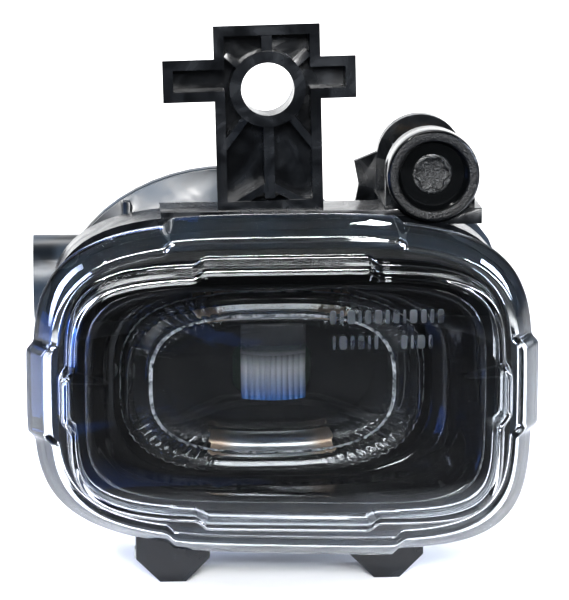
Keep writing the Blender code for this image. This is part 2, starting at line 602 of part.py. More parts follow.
def build_optics():
    around = oval_angles(56)
    rear = (34.0 * MM, 21.6 * MM, 3.1)
    centre = (OPTIC_X, 0)
    bezel = [oval((42.5 * MM, 23.9 * MM, 4.6), -1.2 * MM, around, slant=True),
             oval((41.9 * MM, 23.3 * MM, 4.4), -2.2 * MM, around, slant=True),
             oval((41.1 * MM, 22.7 * MM, 4.2), -1.4 * MM, around, slant=True),
             oval((37.6 * MM, 22.4 * MM, 3.4), 8.0 * MM, around, (OPTIC_X / 2, 0)),
             oval(rear, 12.0 * MM, around, centre), oval(rear, 13.6 * MM, around, centre),
             oval((41.2 * MM, 27.0 * MM, 4.2), 13.6 * MM, around),
             oval((41.2 * MM, 27.0 * MM, 4.2), 12.2 * MM, around),
             oval((38.9 * MM, 23.8 * MM, 3.5), 8.0 * MM, around, (OPTIC_X / 2, 0)),
             oval((41.9 * MM, 23.6 * MM, 4.5), 0.2 * MM, around, slant=True)]
    piece("bezel", loft(bezel, loop=True), gloss_black, tilt_axis)

    y0, y1 = OPTIC_Y
    wall = 2.6 * MM
    rings = [oval((26.0 * MM, 14.6 * MM, 2.8), y0, around, centre),
             oval(shrink(OPTIC, 1.4 * MM), y0 + 1.4 * MM, around, centre),
             oval(OPTIC, y0 + 3.4 * MM, around, centre), oval(OPTIC, y1, around, centre),
             oval(shrink(OPTIC, wall), y1, around, centre),
             oval(shrink(OPTIC, wall), y0 + wall + 2.4 * MM, around, centre),
             oval((25.0 * MM, 13.6 * MM, 2.8), y0 + wall, around, centre)]
    piece("inner_optic", loft(rings), clear, tilt_axis)

    x, z = GUIDE_AT
    flutes = 7
    width, height = GUIDE
    front = []
    for i in range(flutes * 4 + 1):
        along = i / (flutes * 4)
        crown = 2.6 * MM * (1 - (2 * along - 1) ** 2)
        front.append((x - width / 2 + width * along,
                      17.2 * MM - crown - 0.35 * MM * abs(sin(pi * flutes * along))))
    outline = front + [(x + width / 2, 22.6 * MM), (x - width / 2, 22.6 * MM)]
    guide = loft([[Vector((px, py, z + side * height / 2)) for px, py in outline]
                  for side in (-1, 1)])
    piece("light_guide", guide, clear, tilt_axis, angle=20)

    for name, low, high, side, half in (("upper_reflector_strip", 15.6, 17.4, 1, 16.2),
                                        ("lower_reflector_strip", 15.6, 17.4, -1, 13.4)):
        rings = []
        for i in range(9):
            across = half * MM * (i / 4 - 1)
            drop = 0.9 * MM * (across / (half * MM)) ** 2
            near, far = side * (high * MM - drop), side * (low * MM - drop)
            rings.append([Vector((across + OPTIC_X, 14.4 * MM, near)),
                          Vector((across + OPTIC_X, 22.8 * MM, far)),
                          Vector((across + OPTIC_X, 22.8 * MM, far - side * 0.8 * MM)),
                          Vector((across + OPTIC_X, 14.4 * MM, near - side * 0.8 * MM))])
        piece(name, loft(rings), silvered, tilt_axis)

    plate = (41.0 * MM, 26.2 * MM, 3.8)
    window = (8.6 * MM, 6.0 * MM, 4.0)
    holder = piece("optic_holder", loft([oval(plate, y, around) for y in HOLDER_Y]),
                   gloss_black, tilt_axis)
    cuts = [loft([oval(window, y, around, (GUIDE_AT[0], 0)) for y in (23 * MM, 28 * MM)])]
    cuts += [rod(23 * MM, 28 * MM, 1.1 * MM + GAP, (x, 0), sides=16) for x in HOLDER_SCREWS]
    cuts += [rod(HOLDER_Y[0] + 0.5 * MM, 28 * MM, 2.3 * MM, spot, sides=16)
             for spot in BOARD_SCREWS]
    combine(holder, "DIFFERENCE", *cuts)
    for number, x in enumerate(HOLDER_SCREWS, 1):
        piece(f"optic_screw_{number}", pan_screw((x, 0), HOLDER_Y[0] - GAP, 31.4 * MM, 1.9 * MM,
                                                 1.1 * MM), steel, tilt_axis)


def build_light_source():
    x0, x1, z0, z1 = -24 * MM, 24 * MM, -14 * MM, 14 * MM
    plate = piece("led_board", box(x0, x1, *BOARD_Y, z0, z1), board, tilt_axis)
    combine(plate, "DIFFERENCE", *[rod(26 * MM, 30 * MM, 1.1 * MM + GAP, spot, sides=16)
                                   for spot in BOARD_SCREWS])
    for number in range(3):
        x = GUIDE_AT[0] + (number - 1) * 4.6 * MM
        piece(f"led_chip_{number + 1}",
              box(x - 1.7 * MM, x + 1.7 * MM, 26.1 * MM, BOARD_Y[0] - GAP, -1.7 * MM, 1.7 * MM),
              phosphor, tilt_axis)
    piece("thermal_pad", box(-14 * MM, 14 * MM, BOARD_Y[1] + 0.2 * MM, SINK_Y[0] - 0.2 * MM,
                             -9 * MM, 9 * MM), pad_grey, tilt_axis)
    base, web, tips = SINK_Y
    sink = piece("heat_sink", box(-39.6 * MM, 39.6 * MM, base, web, -17 * MM, 17 * MM),
                 aluminium, tilt_axis)
    fins = np.linspace(-FIN_SPAN, FIN_SPAN, FIN_COUNT) + 6.4 * MM
    combine(sink, "UNION", *[box(x - 0.8 * MM, x + 0.8 * MM, web - 0.5 * MM, tips,
                                 -16 * MM, 16 * MM) for x in fins], label="fin")
    cuts = [rod(28 * MM, 34 * MM, 1.1 * MM + GAP, spot, sides=16) for spot in BOARD_SCREWS]
    cuts += [rod(28 * MM, 34 * MM, 1.1 * MM + GAP, (x, 0), sides=16) for x in HOLDER_SCREWS]
    combine(sink, "DIFFERENCE", *cuts)
    for number, spot in enumerate(BOARD_SCREWS, 1):
        piece(f"board_screw_{number}", pan_screw(spot, 27.0 * MM, 32.2 * MM, 1.9 * MM, 1.1 * MM),
              steel, tilt_axis)


def build_electrics():
    piece("driver_board", box(-31 * MM, -21 * MM, 38.6 * MM, 40.2 * MM, -18 * MM, 23 * MM),
          board, tilt_axis)
    piece("driver_coil", rod(40.5 * MM, 46.5 * MM, 4.2 * MM, (-26 * MM, -8 * MM), sides=20),
          steel, tilt_axis)
    piece("driver_capacitor", rod(40.5 * MM, 49.0 * MM, 3.0 * MM, (-26 * MM, 4 * MM), sides=20),
          aluminium, tilt_axis)
    insert = piece("connector_insert", rod(-43.4 * MM, -35.4 * MM, 5.0 * MM - GAP, SOCKET, "X"),
                   black, tilt_axis)
    pin_half = (1.4 * MM, 0.4 * MM)
    holes = []
    for number, side in enumerate((-1, 1), 1):
        z = SOCKET[1] + side * PIN_GAP / 2
        y = SOCKET[0]
        holes.append(box(-45 * MM, -34 * MM, y - pin_half[0] - GAP, y + pin_half[0] + GAP,
                         z - pin_half[1] - GAP, z + pin_half[1] + GAP))
        piece(f"connector_pin_{number}",
              box(-48.2 * MM, -32.4 * MM, y - pin_half[0], y + pin_half[0], z - pin_half[1],
                  z + pin_half[1]), brass, tilt_axis)
    combine(insert, "DIFFERENCE", *holes)
    ring = lathe([(-45.6 * MM, 6.1 * MM), (-43.4 * MM, 6.1 * MM),
                  (-43.4 * MM, SOCKET_BORE_R - 0.35 * MM), (-45.6 * MM, SOCKET_BORE_R - 0.35 * MM)],
                 SOCKET, "X", 28)
    piece("connector_seal", loft(ring, loop=True), rubber, tilt_axis)


build_bracket()
build_adjuster()
build_lens()
build_seals()
build_housing()
build_rear_cover()
build_fasteners()
build_vent()
build_optics()
build_light_source()
build_electrics()
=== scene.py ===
"""Looks of a car fog light: a clear polycarbonate front lens over a black well with a clear
inner optic, in a black nylon bracket with one aiming screw. Lengths are metres, in the CAD's
frame, and the sizes given in millimetres are laid out about the middle of the lens.
"""
from math import pi, radians

import bmesh
import bpy
import numpy as np
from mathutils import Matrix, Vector


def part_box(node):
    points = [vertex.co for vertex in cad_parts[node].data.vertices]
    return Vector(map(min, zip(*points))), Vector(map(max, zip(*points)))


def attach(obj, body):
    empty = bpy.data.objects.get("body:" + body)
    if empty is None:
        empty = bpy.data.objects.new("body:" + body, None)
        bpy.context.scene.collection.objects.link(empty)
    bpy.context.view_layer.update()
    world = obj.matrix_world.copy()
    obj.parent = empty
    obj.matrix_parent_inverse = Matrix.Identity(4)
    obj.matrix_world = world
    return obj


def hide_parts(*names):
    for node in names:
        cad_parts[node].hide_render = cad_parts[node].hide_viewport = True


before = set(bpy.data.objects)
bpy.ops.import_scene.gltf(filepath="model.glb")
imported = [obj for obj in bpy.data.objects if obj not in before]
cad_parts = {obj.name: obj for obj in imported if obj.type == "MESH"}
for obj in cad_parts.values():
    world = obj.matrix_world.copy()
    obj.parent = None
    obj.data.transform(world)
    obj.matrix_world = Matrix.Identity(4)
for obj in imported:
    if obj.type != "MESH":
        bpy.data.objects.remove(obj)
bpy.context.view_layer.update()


# ---- bracket -------------------------------------------------------------------------------
# One moulding of black glass-filled nylon: ring frame, shelf, ribbed tab, feet and adjuster
# cradle. The moulding gives it soft edges, a half-gloss skin with flow marks, and fine grain.

scene = bpy.context.scene
MM = 0.001
MERGE_GAP = 0.002 * MM
FLAT_ANGLE, CREASE_ANGLE = radians(0.6), radians(32)


def linear(code):
    """sRGB hex to linear RGBA."""
    part = np.array([int(code[i:i + 2], 16) for i in (1, 3, 5)]) / 255
    line = np.where(part <= 0.04045, part / 12.92, ((part + 0.055) / 1.055) ** 2.4)
    return (*line, 1.0)


def add(tree, kind, values=None, links=None, out=0):
    """Adds one node with its settings and links, and gives one of its outputs. A value that is
    a hex colour is turned to linear."""
    node = tree.nodes.new("ShaderNode" + kind)
    for key, value in (values or {}).items():
        if isinstance(value, str) and value.startswith("#"):
            value = linear(value)
        if isinstance(key, str) and key not in node.inputs:
            setattr(node, key, value)
        else:
            node.inputs[key].default_value = value
    for key, socket in (links or {}).items():
        tree.links.new(socket, node.inputs[key])
    return node.outputs[out]


def finish_named(name, **sockets):
    """A new Principled finish: its material, its tree and its Object coordinates."""
    made = bpy.data.materials.new(name)
    made.use_nodes = True
    shader = made.node_tree.nodes["Principled BSDF"]
    for key, value in sockets.items():
        shader.inputs[key.replace("_", " ")].default_value = value
    place = add(made.node_tree, "TexCoord", out="Object")
    return made, made.node_tree, place


def feed(tree, **sockets):
    """Joins outputs to the Principled shader's inputs."""
    shader = tree.nodes["Principled BSDF"]
    for key, socket in sockets.items():
        tree.links.new(socket, shader.inputs[key.replace("_", " ")])


def moulded(name, dark, light, gloss, grain_mm, grain_depth, flow_mm=9.0):
    """Moulded plastic or rubber: flow marks of two near tones, uneven gloss, fine grain and
    slight waviness. gloss is the lowest and highest roughness."""
    made, tree, place = finish_named(name, IOR=1.52, Specular_IOR_Level=0.5)
    flow = add(tree, "TexNoise", {"Scale": 1 / (flow_mm * MM), "Detail": 4.0, "Distortion": 1.2},
               {"Vector": place})
    spread = add(tree, "MapRange", {"From Min": 0.35, "From Max": 0.68}, {"Value": flow})
    grain = add(tree, "TexNoise", {"Scale": 1 / (grain_mm * MM), "Detail": 2.0}, {"Vector": place})
    wave = add(tree, "TexNoise", {"Scale": 1 / (flow_mm * 0.55 * MM), "Detail": 1.0},
               {"Vector": place})
    rough = add(tree, "MapRange", {"To Min": gloss[0], "To Max": gloss[1]}, {"Value": spread})
    bent = add(tree, "Bump", {"Strength": 0.35, "Distance": 0.25 * MM}, {"Height": wave})
    bump = add(tree, "Bump", {"Strength": 0.5, "Distance": grain_depth * MM},
               {"Height": grain, "Normal": bent})
    tone = add(tree, "Mix", {"data_type": "RGBA", 6: dark, 7: light}, {0: spread}, out=2)
    feed(tree, Base_Color=tone, Roughness=rough, Normal=bump)
    return made


def put(name, mesh, body, finish, *stands_for, slot=None):
    """Places a finished mesh in the scene: rides its body and stands for CAD nodes."""
    made = bpy.data.objects.new(name, mesh)
    scene.collection.objects.link(made)
    mesh.materials.clear()
    mesh.materials.append(finish)
    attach(made, body)
    if stands_for:
        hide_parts(*stands_for)
    return made


def softened(node, name, body, finish, width, slot):
    """A copy of a CAD node with its loose triangles merged and its edges rounded by width."""
    shape = bmesh.new()
    shape.from_mesh(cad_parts[node].data)
    bmesh.ops.remove_doubles(shape, verts=shape.verts, dist=MERGE_GAP)
    bmesh.ops.dissolve_limit(shape, angle_limit=FLAT_ANGLE, verts=shape.verts,
                             edges=shape.edges)
    mesh = bpy.data.meshes.new(name)
    shape.to_mesh(mesh)
    shape.free()
    mesh.shade_smooth()
    made = put(name, mesh, body, finish, node, slot=slot)
    edge = made.modifiers.new("rounded edges", "BEVEL")
    edge.width, edge.segments, edge.limit_method = width, 2, "ANGLE"
    edge.angle_limit = CREASE_ANGLE
    edge.harden_normals = True
    made.data.set_sharp_from_angle(angle=CREASE_ANGLE)
    return made


nylon = moulded("black glass-filled nylon", "#07080a", "#14171b", (0.16, 0.34), 0.35, 0.012)
softened("mount_bracket", "bracket", "bracket", nylon, 0.35 * MM, "black_moulding")


# ---- pivot pins ----------------------------------------------------------------------------
# Two zinc-plated steel pins through the feet and the lamp's lugs, turned, with rounded ends.
# Zinc plating is a bright grey with faint drawing marks.

LENS_CENTRE = np.array([2.6, -26.0, -61.7]) * MM
TURNED_CREASE = radians(38)


def turned(profile, centre, axis, sides=48, waves=None):
    """Surface of revolution: each (along, radius) of the profile is swept round the axis, at
    radius x (cos turn, sin turn). waves adds to the radius, from the turn, the distance along
    and the radius."""
    along, radius = (np.array(column, float)[:, None] for column in zip(*profile))
    turn = np.linspace(0, 2 * pi, sides, endpoint=False)[None, :]
    reach = radius + (waves(turn, along, radius) if waves else 0 * turn)
    first, second = reach * np.cos(turn), reach * np.sin(turn)
    run = along + 0 * turn
    columns = {"X": (run, first, second), "Y": (first, run, second)}[axis]
    return np.stack(columns, axis=-1) + np.array(centre)


def woven(name, points, closed=False):
    """Mesh of a grid of points, joined round its second direction; the first and last rows are
    joined to each other if closed, and capped with a fan if not."""
    rows, sides = points.shape[:2]
    index = np.arange(rows * sides).reshape(rows, sides)
    if closed:
        index = np.vstack([index, index[:1]])
    side = np.roll(index, -1, axis=1)
    quads = np.stack([index[:-1], side[:-1], side[1:], index[1:]], axis=-1).reshape(-1, 4)
    mesh = bpy.data.meshes.new(name)
    cloud = points.reshape(-1, 3)
    faces = quads.tolist()
    if not closed:
        ends = np.stack([points[0].mean(0), points[-1].mean(0)])
        cloud = np.vstack([cloud, ends])
        for hub, ring in ((rows * sides, index[0]), (rows * sides + 1, index[-1])):
            faces += np.stack([ring, np.roll(ring, -1), np.full(sides, hub)], axis=-1).tolist()
    mesh.from_pydata(cloud.tolist(), [], faces)
    shape = bmesh.new()
    shape.from_mesh(mesh)
    bmesh.ops.recalc_face_normals(shape, faces=shape.faces)
    shape.to_mesh(mesh)
    shape.free()
    mesh.shade_smooth()
    mesh.set_sharp_from_angle(angle=TURNED_CREASE)
    return mesh


def from_lens(x, y, z):
    """A place given in millimetres from the lens centre."""
    return LENS_CENTRE + np.array([x, y, z]) * MM


def metal(name, dark, light, gloss, mark_mm, depth, stretch=(1, 1, 1)):
    """Metal: two near tones in patches, uneven gloss and fine marks, drawn out by stretch."""
    made, tree, place = finish_named(name, Metallic=1.0)
    drawn = add(tree, "Mapping", {"Scale": stretch}, {"Vector": place})
    marks = add(tree, "TexNoise", {"Scale": 1 / (mark_mm * MM), "Detail": 3.0}, {"Vector": drawn})
    patch = add(tree, "TexNoise", {"Scale": 1 / (4.0 * MM), "Detail": 3.0}, {"Vector": place})
    rough = add(tree, "MapRange", {"To Min": gloss[0], "To Max": gloss[1]}, {"Value": marks})
    bump = add(tree, "Bump", {"Strength": 0.5, "Distance": depth * MM}, {"Height": marks})
    tone = add(tree, "Mix", {"data_type": "RGBA", 6: dark, 7: light}, {0: patch}, out=2)
    feed(tree, Base_Color=tone, Roughness=rough, Normal=bump)
    return made


zinc = metal("zinc-plated steel", "#8d8f8e", "#c9c9c2", (0.22, 0.42), 0.25, 0.006, (0.2, 1, 1))
PIVOT_X, PIVOT_Y, PIVOT_Z = 23.5, 24.0, -41.5
half, radius, chamfer = 8.4 * MM, 1.5 * MM, 0.4 * MM
pin_end = [(half - chamfer, radius), (half - chamfer * 0.3, radius - chamfer * 0.3),
           (half, radius - chamfer)]
pin_outline = [(-along, reach) for along, reach in reversed(pin_end)] + pin_end
for pin, side in (("pivot_pin_left", -1), ("pivot_pin_right", 1)):
    points = turned(pin_outline, from_lens(side * PIVOT_X, PIVOT_Y, PIVOT_Z), "X")
    put(pin + "_turned", woven(pin, points), "bracket", zinc, pin, slot="plated_steel")


# ---- aiming screw --------------------------------------------------------------------------
# Black acetal screw: broad dished head with a star-shaped drive recess, a smooth neck in the
# front plate and a thread of 2.5 mm pitch, in a brass nut that the housing's fork carries. A
# steel clip keeps it in its plate.

SCREW = from_lens(32.4, 0, 43.4)
THREAD_PITCH = 2.5 * MM
THREAD_DEPTH = 0.42 * MM
STAR_LOBES, STAR_REACH = 6, 0.42 * MM
RECESS_FLOOR, RECESS_LIP = 17.7 * MM, 16.12 * MM


def screw_waves(turn, along, radius):
    """Thread: the radius falls by a rounded cosine of the turn less the distance along in
    pitches, so that the ridge climbs one pitch each turn between the plates."""
    on_thread = (along > 24.2 * MM) & (along < 37.6 * MM) & (radius > 1.5 * MM)
    phase = 2 * pi * along / THREAD_PITCH - turn
    return np.where(on_thread, -THREAD_DEPTH * (0.5 - 0.5 * np.cos(phase)) ** 0.7, 0.0)


def head_profile():
    """(along, radius) in metres, written in millimetres: from the floor of the drive recess,
    over the flat floor of the dish, its steep wall and the rim, to the neck and the tail."""
    inner = [(17.6, 0.2), (17.6, 2.9), (17.4, 3.4), (16.4, 3.5), (16.15, 3.65), (16.1, 4.1),
             (16.1, 6.2), (16.0, 6.75), (15.6, 7.1), (14.0, 7.35), (13.45, 7.5), (13.2, 7.8),
             (13.1, 8.3), (13.08, 9.0), (13.12, 9.4), (13.3, 9.72), (13.7, 9.87), (14.1, 9.9),
             (18.3, 9.9), (18.65, 9.8), (18.85, 9.55), (18.9, 9.2), (18.9, 3.2), (18.95, 2.95),
             (19.1, 2.9), (22.3, 2.9), (22.4, 2.3)]
    thread = [(y, 2.3) for y in np.arange(22.5, 38.45, 0.15)]
    tail = [(38.5, 2.3), (38.5, 1.9), (43.1, 1.9), (43.4, 1.75), (43.5, 1.5), (43.5, 0.1)]
    return [(y * MM, r * MM) for y, r in inner + thread + tail]


def star_waves(turn, along, radius):
    """Drive recess: a cosine of six lobes added to the radius, growing from the lip to the
    floor, and the thread."""
    depth = np.clip((along - RECESS_LIP) / (0.25 * MM), 0, 1)
    near = (radius > 1.0 * MM) & (radius < 3.7 * MM) & (along < RECESS_FLOOR)
    lobes = STAR_REACH * np.cos(STAR_LOBES * turn) * depth
    return np.where(near, lobes, 0.0) + screw_waves(turn, along, radius)


def acetal_finish():
    """Black acetal: glossy in the dish, with a coarse spark-eroded grain on the rim between 7.3
    and 9.6 mm and a rough, slightly paler drive recess. The rings are drawn from the distance
    to the screw's axis."""
    made, tree, place = finish_named("black acetal", IOR=1.48)
    centred = add(tree, "Mapping", {"Location": (-SCREW[0], 0, -SCREW[2]), "Scale": (1, 0, 1)},
                  {"Vector": place})
    reach = add(tree, "VectorMath", {"operation": "LENGTH"}, {0: centred}, out="Value")
    band = add(tree, "MapRange", {"From Min": 7.3 * MM, "From Max": 7.7 * MM}, {"Value": reach})
    edge = add(tree, "MapRange", {"From Min": 9.2 * MM, "From Max": 9.6 * MM, "To Min": 1.0,
                                  "To Max": 0.0}, {"Value": reach})
    grained = add(tree, "Math", {"operation": "MULTIPLY"}, {0: band, 1: edge})
    grit = add(tree, "TexNoise", {"Scale": 1 / (0.42 * MM), "Detail": 3.0}, {"Vector": place})
    torn = add(tree, "MapRange", {"From Min": 3.6 * MM, "From Max": 4.4 * MM, "To Min": 1.0,
                                  "To Max": 0.0}, {"Value": reach})
    either = add(tree, "Math", {"operation": "MAXIMUM"}, {0: grained, 1: torn})
    height = add(tree, "Math", {"operation": "MULTIPLY"}, {0: grit, 1: either})
    bump = add(tree, "Bump", {"Strength": 1.0, "Distance": 0.35 * MM}, {"Height": height})
    rough = add(tree, "MapRange", {"To Min": 0.12, "To Max": 0.45}, {"Value": either})
    lit = add(tree, "MapRange", {"From Min": 0.45, "From Max": 0.75}, {"Value": grit})
    pale = add(tree, "Math", {"operation": "MULTIPLY"}, {0: lit, 1: torn})
    dark = add(tree, "MapRange", {"To Min": 0.0, "To Max": 0.2}, {"Value": pale})
    tone = add(tree, "Mix", {"data_type": "RGBA", 6: "#08090a", 7: "#8e9192"}, {0: dark}, out=2)
    feed(tree, Base_Color=tone, Roughness=rough, Normal=bump)
    return made


acetal = acetal_finish()
put("aiming_screw_turned",
    woven("aiming_screw", turned(head_profile(), SCREW, "Y", 120, star_waves)),
    "aiming_screw", acetal, "adjuster_screw", slot="black_moulding")
softened("adjuster_clip", "aiming_clip", "aiming_screw", zinc, 0.12 * MM, "plated_steel")
brass = metal("turned brass", "#9c7f45", "#d9bd7a", (0.24, 0.4), 0.3, 0.006)
softened("adjuster_nut", "aiming_nut_block", "aiming_nut", brass, 0.3 * MM, "brass")


# ---- housing -------------------------------------------------------------------------------
# Black polypropylene shell behind the lens: rim that the lens is welded to, neck through the
# bracket, flange for the rear cover, pivot lugs and the fork that carries the nut.

shell = moulded("black polypropylene shell", "#080e14", "#1d2a36", (0.3, 0.52), 0.45, 0.01, 12.0)
# The land that the lens is welded to is textured, so it is duller than the rest of the shell.
LAND_Y = LENS_CENTRE[1] + 9 * MM
tree = shell.node_tree
gloss = tree.nodes["Principled BSDF"].inputs["Roughness"].links[0].from_socket
depth = add(tree, "SeparateXYZ", {}, {"Vector": add(tree, "TexCoord", out="Object")}, out="Y")
land = add(tree, "MapRange", {"From Min": LAND_Y, "From Max": LAND_Y + 3 * MM, "To Min": 0.3,
                              "To Max": 0.0}, {"Value": depth})
feed(tree, Roughness=add(tree, "Math", {"operation": "ADD"}, {0: gloss, 1: land}))
softened("housing", "housing_shell", "lamp", shell, 0.3 * MM, "black_moulding")
cover = moulded("black polypropylene cover", "#070d13", "#25323e", (0.3, 0.5), 0.45, 0.01, 14.0)
softened("rear_cover", "rear_cover_shell", "lamp", cover, 0.5 * MM, "black_moulding")


# ---- rear cover screws, seals and vent -----------------------------------------------------
# Zinc-plated thread-forming screws with domed pan heads and cross recesses; moulded rubber
# seals, matt with a fine bloom; a ribbed rubber breather cap over a grey membrane.

def pan_head(head_y, tip_y, head_r, shank_r):
    """(along, radius) of a screw: a quarter ellipse for the domed head, then its flat underside,
    the shank and the point."""
    way = 1 if head_y > tip_y else -1
    dome = [(head_y + way * 1.9 * MM * np.cos(a), head_r * np.sin(a))
            for a in np.linspace(0.02, pi / 2, 14)]
    under = head_y - way * 0.02 * MM
    run = abs(head_y - tip_y) - 1.0 * MM
    shank = [(head_y - way * d, shank_r) for d in np.arange(0.3 * MM, run, 0.2 * MM)]
    return (dome + [(under, head_r * 0.97), (under, shank_r)] + shank
            + [(tip_y + way * 0.3 * MM, shank_r * 0.6), (tip_y, 0.1 * MM)])


def driven_screw(node, head_y, tip_y, head_r, shank_r, sides=40):
    """Turned screw with a thread of 1 mm pitch, a rounded cosine of the turn less the distance
    along. Points of the dome near either of two crossed lines are pressed in for the recess."""
    def thread(turn, along, radius):
        on_shank = (radius < shank_r * 1.01) & (radius > shank_r * 0.9)
        return np.where(on_shank, -0.22 * MM * (0.5 - 0.5 * np.cos(2 * pi * along / MM - turn)), 0)

    way = 1 if head_y > tip_y else -1
    points = turned(pan_head(head_y, tip_y, head_r, shank_r), (0, 0, 0), "Y", sides, thread)
    x, along, z = points[..., 0], points[..., 1], points[..., 2]
    slot = np.minimum(abs(x), abs(z)) < 0.16 * head_r
    sunk = ((along - head_y) * way > 0) & slot & (np.hypot(x, z) < 0.62 * head_r)
    points[..., 1] -= np.where(sunk, way * 0.9 * MM, 0)
    low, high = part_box(node)
    spot = np.array([(low.x + high.x) / 2, LENS_CENTRE[1], (low.z + high.z) / 2])
    put(node + "_zinc", woven(node, points + spot), "lamp", zinc, node, slot="plated_steel")


for number in range(1, 5):
    driven_screw(f"cover_screw_{number}", 40.7 * MM, 35.2 * MM, 3.0 * MM, 1.3 * MM)
for number in (1, 2):
    driven_screw(f"optic_screw_{number}", 24.0 * MM, 31.4 * MM, 1.9 * MM, 1.1 * MM)
    driven_screw(f"board_screw_{number}", 27.0 * MM, 32.2 * MM, 1.9 * MM, 1.1 * MM)


def refinish(node, finish):
    """Gives a CAD node that stays its finish."""
    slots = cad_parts[node].data.materials
    slots.clear()
    slots.append(finish)


rubber = moulded("seal rubber", "#0a0a0a", "#1b1b1a", (0.55, 0.8), 0.3, 0.02, 5.0)
for node in ("lens_seal", "rear_seal", "connector_seal"):
    refinish(node, rubber)

VENT = from_lens(20.0, 0, -12.0)
VENT_RIBS = 12


def vent_waves(turn, along, radius):
    """Grip ribs: the radius of the cap's skirt falls by a squared cosine of twelve waves."""
    on_skirt = (radius > 4.6 * MM) & (along > 58.6 * MM) & (along < 60.6 * MM)
    return np.where(on_skirt, -0.25 * MM * (0.5 + 0.5 * np.cos(VENT_RIBS * turn)) ** 2, 0)


vent_outline = [(53.4, 1.2), (53.4, 2.1), (58.3, 2.1), (58.3, 4.9), (58.5, 5.0), (58.9, 5.0),
                (59.4, 5.0), (59.9, 5.0), (60.4, 5.0), (60.8, 4.8), (61.1, 4.4), (61.2, 4.0),
                (61.2, 1.4), (61.1, 1.2)]
put("vent_cap_ribbed",
    woven("vent", turned([(a * MM, r * MM) for a, r in vent_outline],
                         VENT, "Y", 96, vent_waves), closed=True),
    "lamp", rubber, "vent_cap", slot="seal_rubber")
membrane = moulded("vent membrane", "#8d8e8c", "#b5b6b3", (0.7, 0.9), 0.2, 0.01, 2.0)
refinish("vent_membrane", membrane)


# ---- outer lens ----------------------------------------------------------------------------
# Clear polycarbonate, injection moulded: a flat flange ring, a raised pane with stepped edge,
# and a skirt welded to the housing. Each outline has a raised stretch amid each side. The
# mould leaves a high gloss with slight waviness.

LENS_SLANT, LENS_TOE = 1.2, 1.22
BACK_BUMP = (1.4, 23.2, 8.5, 2.4)
PANE_BUMP = (1.6, 16.7, 4.0, 3.0)


def smooth(value):
    """0 to 1, easing at both ends."""
    value = np.clip(value, 0, 1)
    return value * value * (3 - 2 * value)


def outline(size, bump=None, count=720, slant=True, centre=(0.0, 0.0)):
    """Superellipse |x/a|^n + |z/b|^n = 1 of half sizes a, b and squareness n, as x and z arrays
    in millimetres. slant makes its lower half grow to the right, with a squarer lower right
    corner. bump (rise, half spans, jog) lifts the middle of each side by rise."""
    half_x, half_z, power = size
    turn = np.linspace(0, 2 * pi, count, endpoint=False)
    # Equal steps of angle crowd the points at the corners, so the steps follow the length.
    fine = np.linspace(0, 2 * pi, 40001)
    toe = np.where(slant & (np.sin(fine) < 0) & (np.cos(fine) > 0), LENS_TOE, 1.0)
    root = 2 / (power * toe)
    x = half_x * np.sign(np.cos(fine)) * abs(np.cos(fine)) ** root
    z = half_z * np.sign(np.sin(fine)) * abs(np.sin(fine)) ** root
    run = np.concatenate([[0], np.cumsum(np.hypot(np.diff(x), np.diff(z)))])
    fine_turn = turn / (2 * pi) * run[-1]
    x, z = np.interp(fine_turn, run, x), np.interp(fine_turn, run, z)
    if slant:
        z = np.where(z < 0, z * (1 + LENS_SLANT * MM * x), z)
    if bump:
        rise, span_x, span_z, jog = bump
        flat = abs(z) / half_z > abs(x) / half_x
        z = z + np.where(flat, np.sign(z) * rise * smooth((span_x + jog - abs(x)) / jog), 0)
        x = x + np.where(~flat, np.sign(x) * rise * smooth((span_z + jog - abs(z)) / jog), 0)
    return x + centre[0], z + centre[1]


def tighter(size, by):
    """The same outline with each half size smaller by some millimetres."""
    return (size[0] - by, size[1] - by, size[2])


def rings(stack):
    """Grid of points from (size, bump, y) rows: one outline at each depth y, in millimetres."""
    layers = []
    for size, bump, y in stack:
        x, z = outline(size, bump)
        layers.append(np.stack([x, np.full_like(x, y), z], axis=-1))
    return np.array(layers) * MM + LENS_CENTRE


BACK, RING, STEP = (53.0, 35.6, 3.6), (49.6, 32.2, 3.7), (46.0, 27.4, 4.8)
PANE, PANE_FRONT = tighter(STEP, 0.5), -7.3
